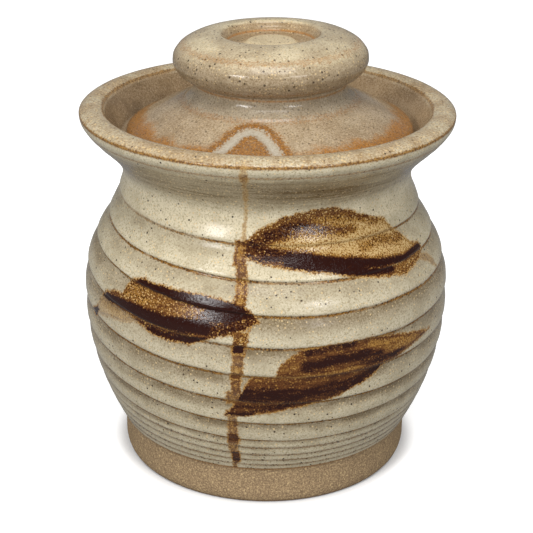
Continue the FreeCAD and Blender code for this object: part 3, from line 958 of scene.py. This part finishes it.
class LidGlaze(Glaze):
    """Tan glaze, rust by the edge and round the arch, and pale glaze pooled in the arch."""

    def __init__(self, colours):
        super().__init__("lid_glaze", colours)
        self.arch = self.attribute("arch")
        self.knob = self.attribute("knob")
        self.reach = self.attribute("axis_distance")

    def ground(self):
        """The colour of the dome, the knob and the hollow in its top, before the specks."""
        fade, mix, reach, colours = self.fade, self.mix, self.reach, self.colours
        cloud = self.noise(11.0, 2.0, 0.5)
        mauve = mix(0.36, colours.tan, colours.pool)
        dome = mix(fade(cloud, 0.35, 0.65), mix(1.0, mauve, (0.84, 0.80, 0.76), "MULTIPLY"), mauve)
        # Creamier towards the top of the knob: partly the glaze's own colour, partly painted light
        # from above.
        creamy = fade(cloud, 0.30, 0.65, 0.6, 1.0) * fade(self.height, 147.0, 154.3, 0.0, 1.0)
        turns = self.noise(2.4, 2.0, 0.5, self.stretched(0.12, 1.0))
        creamy = creamy * fade(turns, 0.36, 0.60, 0.5, 1.0)
        low_knob = mix(0.25, mix(0.40, colours.tan, colours.grey), colours.pool)
        knob_tint = mix(creamy, low_knob, mix(0.2, colours.cream, colours.fleck))
        dome = mix(fade(reach, 32.0, 29.8, 0.0, 0.55), dome, colours.pool)
        button = mix(0.5, colours.cream, colours.fleck)
        floor = mix(fade(reach, 8.8, 10.0), button, mix(0.7, colours.grey, colours.tan))
        return mix(fade(reach, 17.6, 16.6), mix(self.knob, dome, knob_tint), floor)

    def rust(self, tint, ragged):
        """Rust by the lid's edge, round the arch and in thin rings, peppered with dark spots."""
        fade, mix, reach, colours = self.fade, self.mix, self.reach, self.colours
        wide = self.ragged(9.0, 1.0, 0.5, 0.3, 0.7, 1.5)
        rim_rust = fade(reach + (ragged + wide), 41.6, 46.4, 0.0, 1.0)
        halo = self.arch + ragged * 0.95
        halo = fade(halo, 1.2, 1.9) * fade(halo, 3.5, 5.6, 1.0, 0.0)
        under = self.attribute("under_arch") + ragged * 0.8
        halo = self.most(halo, fade(under, 4.6, 6.4, 0.95, 0.0))
        rust = self.most(rim_rust, halo, self.band(reach, HOLLOW_RING, 0.05, 0.5) * 0.8,
                         self.band(reach + ragged, COLLAR_RING, 0.2, 0.9) * 0.45,
                         self.band(self.height, STEM_RING, 0.1, 0.5) * 0.6)
        mottle = self.noise(0.75, 2.0, 0.65)
        rust = rust * fade(mottle, 0.36, 0.54, 0.62, 1.0)
        bright = mix(fade(mottle, 0.50, 0.70, 0.0, 0.40), colours.rust, colours.iron_light)
        bright = mix(fade(mottle, 0.46, 0.34, 0.0, 0.85), bright, colours.edge)
        bright = mix(halo * fade(mottle, 0.58, 0.42, 0.25, 0.75), bright, colours.edge)
        tint = mix(rust, tint, bright)
        return mix(self.spots(0.9, 0.65, 0.46, 0.3) * rust * 0.75, tint, colours.edge)

    def pooled(self, tint, ragged):
        """Pale glaze pooled in the groove of the arch, with a painted highlight along its middle.
        """
        fade, mix, colours = self.fade, self.mix, self.colours
        pool = fade(self.arch + ragged * 0.55, 1.2, 2.3, 1.0, 0.0)
        # Whiter along the middle of the groove: painted highlight.
        pale = mix(fade(self.arch, 0.3, 1.5), mix(0.08, colours.pool, (1, 1, 1)), colours.pool)
        pale = mix(fade(self.grain, 0.30, 0.60, 0.45, 0.0), pale, colours.grey)
        return mix(pool * 0.9, tint, pale)

    def fired(self):
        """The finished material, with one coat laid over the other."""
        calm = self.fade(self.knob, 0.0, 1.0, 0.5, 0.1)
        tint = self.speckle(self.ground(), calm, flecks=0.60, specks=0.52, reach=0.32)
        ragged = self.ragged(0.9, 3.0, 0.75, 0.28, 0.72, 1.3)
        tint = self.pooled(self.rust(tint, ragged), ragged)
        return self.finish(tint, self.gloss(), self.grain * 0.5 - self.dots * 0.5, 0.5, 0.15)


# ---------------------------------------------------------------- operators

class JAR_OT_pot(bpy.types.Operator):
    """Model the jar with its ridges and brushwork"""
    bl_idname = "stoneware.pot"
    bl_label = "Jar"

    def execute(self, context):
        jar = context.scene.jar_sizes
        mesh = turned("jar_pot", jar_profile(jar), JAR_STEPS)
        angle, height, outer = shape_jar(mesh, jar)
        paint_jar(mesh, angle, height, outer)
        place("jar_pot", mesh, JarGlaze(context.scene.glaze_colours).fired(), "jar")
        return {"FINISHED"}


class JAR_OT_lid(bpy.types.Operator):
    """Model the lid with its knob"""
    bl_idname = "stoneware.lid"
    bl_label = "Lid"

    def execute(self, context):
        lid = context.scene.lid_sizes
        seat = context.scene.jar_sizes.ledge_height
        mesh = turned("jar_lid", lid_profile(lid, seat), LID_STEPS)
        shape_lid(mesh, lid, seat)
        place("jar_lid", mesh, LidGlaze(context.scene.glaze_colours).fired(), "lid")
        return {"FINISHED"}


LIT_SPOT = (0, 0, 0.08)      # where all the lamps point
# Each lamp's name, its place, and its width and depth, in metres
LAMPS = (("key", (-0.63, -0.82, 0.50), (0.26, 0.24)),
         ("fill", (0.56, -0.87, 0.50), (0.28, 0.24)),
         ("top", (0.0, -0.55, 1.15), (0.8, 0.6)))
FLOOR_HALF = 3.0             # half the width of the floor, in metres
BY_FOOT = (0.0515, 0.0590)   # the floor brightens between these distances from the axis
FAR_OFF = (0.4, 1.4)         # and again between these
WHITE = (1.0, 1.0, 1.0)


def aim(thing, spot, target, roll=0.0):
    """Puts a camera or a lamp at a spot and turns it towards a target."""
    turn_to = (Vector(target) - Vector(spot)).to_track_quat("-Z", "Y").to_matrix().to_4x4()
    thing.matrix_world = Matrix.Translation(spot) @ turn_to @ Matrix.Rotation(roll, 4, "Z")


def add_lamp(name, spot, size, power):
    data = bpy.data.lights.new(name, "AREA")
    data.shape = "RECTANGLE"
    data.size, data.size_y = size
    data.energy = power
    lamp = bpy.data.objects.new(name, data)
    bpy.context.scene.collection.objects.link(lamp)
    aim(lamp, spot, LIT_SPOT)


class JAR_OT_stage(bpy.types.Operator):
    """Set the floor, the lamps and the camera"""
    bl_idname = "stoneware.stage"
    bl_label = "Stage"

    def execute(self, context):
        settings = context.scene.stage_settings
        self.add_floor()
        self.add_world(settings)
        for name, spot, size in LAMPS:
            add_lamp(name + "_lamp", spot, size, getattr(settings, name + "_power"))
        self.add_camera(settings)
        context.scene.view_settings.view_transform = "Standard"
        return {"FINISHED"}

    def add_floor(self):
        """A plain floor.  To the camera it glows a little, least by the foot, so it stays white."""
        bm = bmesh.new()
        bmesh.ops.create_grid(bm, x_segments=1, y_segments=1, size=FLOOR_HALF)
        mesh = bpy.data.meshes.new("floor")
        bm.to_mesh(mesh)
        bm.free()
        floor = bpy.data.objects.new("floor", mesh)
        bpy.context.scene.collection.objects.link(floor)
        recipe = Recipe("floor_white")
        seen = recipe.node("LightPath").outputs["Is Camera Ray"]
        away = recipe.node("VectorMath", recipe.coordinates, operation="LENGTH").outputs["Value"]
        glow = recipe.fade(away, *BY_FOOT, 0.08, 0.62)
        glow = glow + recipe.fade(away, *FAR_OFF, 0.0, 0.30)
        for name, value in (("Base Color", recipe.mix(seen, (0.35,) * 3, (0.86,) * 3)),
                            ("Roughness", 0.9), ("Specular IOR Level", 0.0),
                            ("Emission Color", WHITE), ("Emission Strength", glow * seen)):
            recipe.link(value, recipe.shader.inputs[name])
        mesh.materials.append(recipe.material)

    def add_world(self, settings):
        """Even light from all round, which the camera sees as plain white."""
        world = bpy.data.worlds.new("studio")
        bpy.context.scene.world = world
        world.use_nodes = True
        nodes = world.node_tree.nodes
        links = world.node_tree.links
        background = nodes["Background"]
        background.inputs["Color"].default_value = (*WHITE, 1.0)
        path = nodes.new("ShaderNodeLightPath")
        strength = nodes.new("ShaderNodeMix")
        strength.data_type = "FLOAT"
        strength.inputs[2].default_value = settings.sky
        strength.inputs[3].default_value = 1.0
        links.new(path.outputs["Is Camera Ray"], strength.inputs[0])
        links.new(strength.outputs[0], background.inputs["Strength"])

    def add_camera(self, settings):
        data = bpy.data.cameras.new("camera")
        data.lens = settings.lens
        data.shift_x = settings.shift
        data.clip_start = 0.01
        camera = bpy.data.objects.new("camera", data)
        bpy.context.scene.collection.objects.link(camera)
        away = settings.camera_distance * math.cos(settings.camera_lift)
        rise = settings.camera_distance * math.sin(settings.camera_lift)
        spot = (0, -away, settings.target_height + rise)
        aim(camera, spot, (0, 0, settings.target_height), settings.camera_roll)
        bpy.context.scene.camera = camera


class JAR_PT_panel(bpy.types.Panel):
    """Lists the jar's pieces and their sizes and colours"""
    bl_label = "Stoneware Jar"
    bl_idname = "JAR_PT_panel"
    bl_space_type = "VIEW_3D"
    bl_region_type = "UI"
    bl_category = "Jar"

    def draw(self, context):
        scene = context.scene
        for operator, group in (("stoneware.pot", scene.jar_sizes),
                                ("stoneware.lid", scene.lid_sizes),
                                ("stoneware.stage", scene.stage_settings)):
            box = self.layout.box()
            box.operator(operator)
            for name in group.__annotations__:
                box.prop(group, name)
        box = self.layout.box()
        for name in scene.glaze_colours.__annotations__:
            box.prop(scene.glaze_colours, name)


GROUPS = {"jar_sizes": JarSizes, "lid_sizes": LidSizes, "glaze_colours": GlazeColours,
          "stage_settings": StageSettings}
CLASSES = (*GROUPS.values(), JAR_OT_pot, JAR_OT_lid, JAR_OT_stage, JAR_PT_panel)


def register():
    for cls in CLASSES:
        bpy.utils.register_class(cls)
    for name, group in GROUPS.items():
        setattr(bpy.types.Scene, name, bpy.props.PointerProperty(type=group))


def unregister():
    for name in GROUPS:
        delattr(bpy.types.Scene, name)
    for cls in reversed(CLASSES):
        bpy.utils.unregister_class(cls)


def main():
    register()
    bpy.ops.stoneware.stage()
    bpy.ops.stoneware.pot()
    bpy.ops.stoneware.lid()


if __name__ == "__main__":
    main()
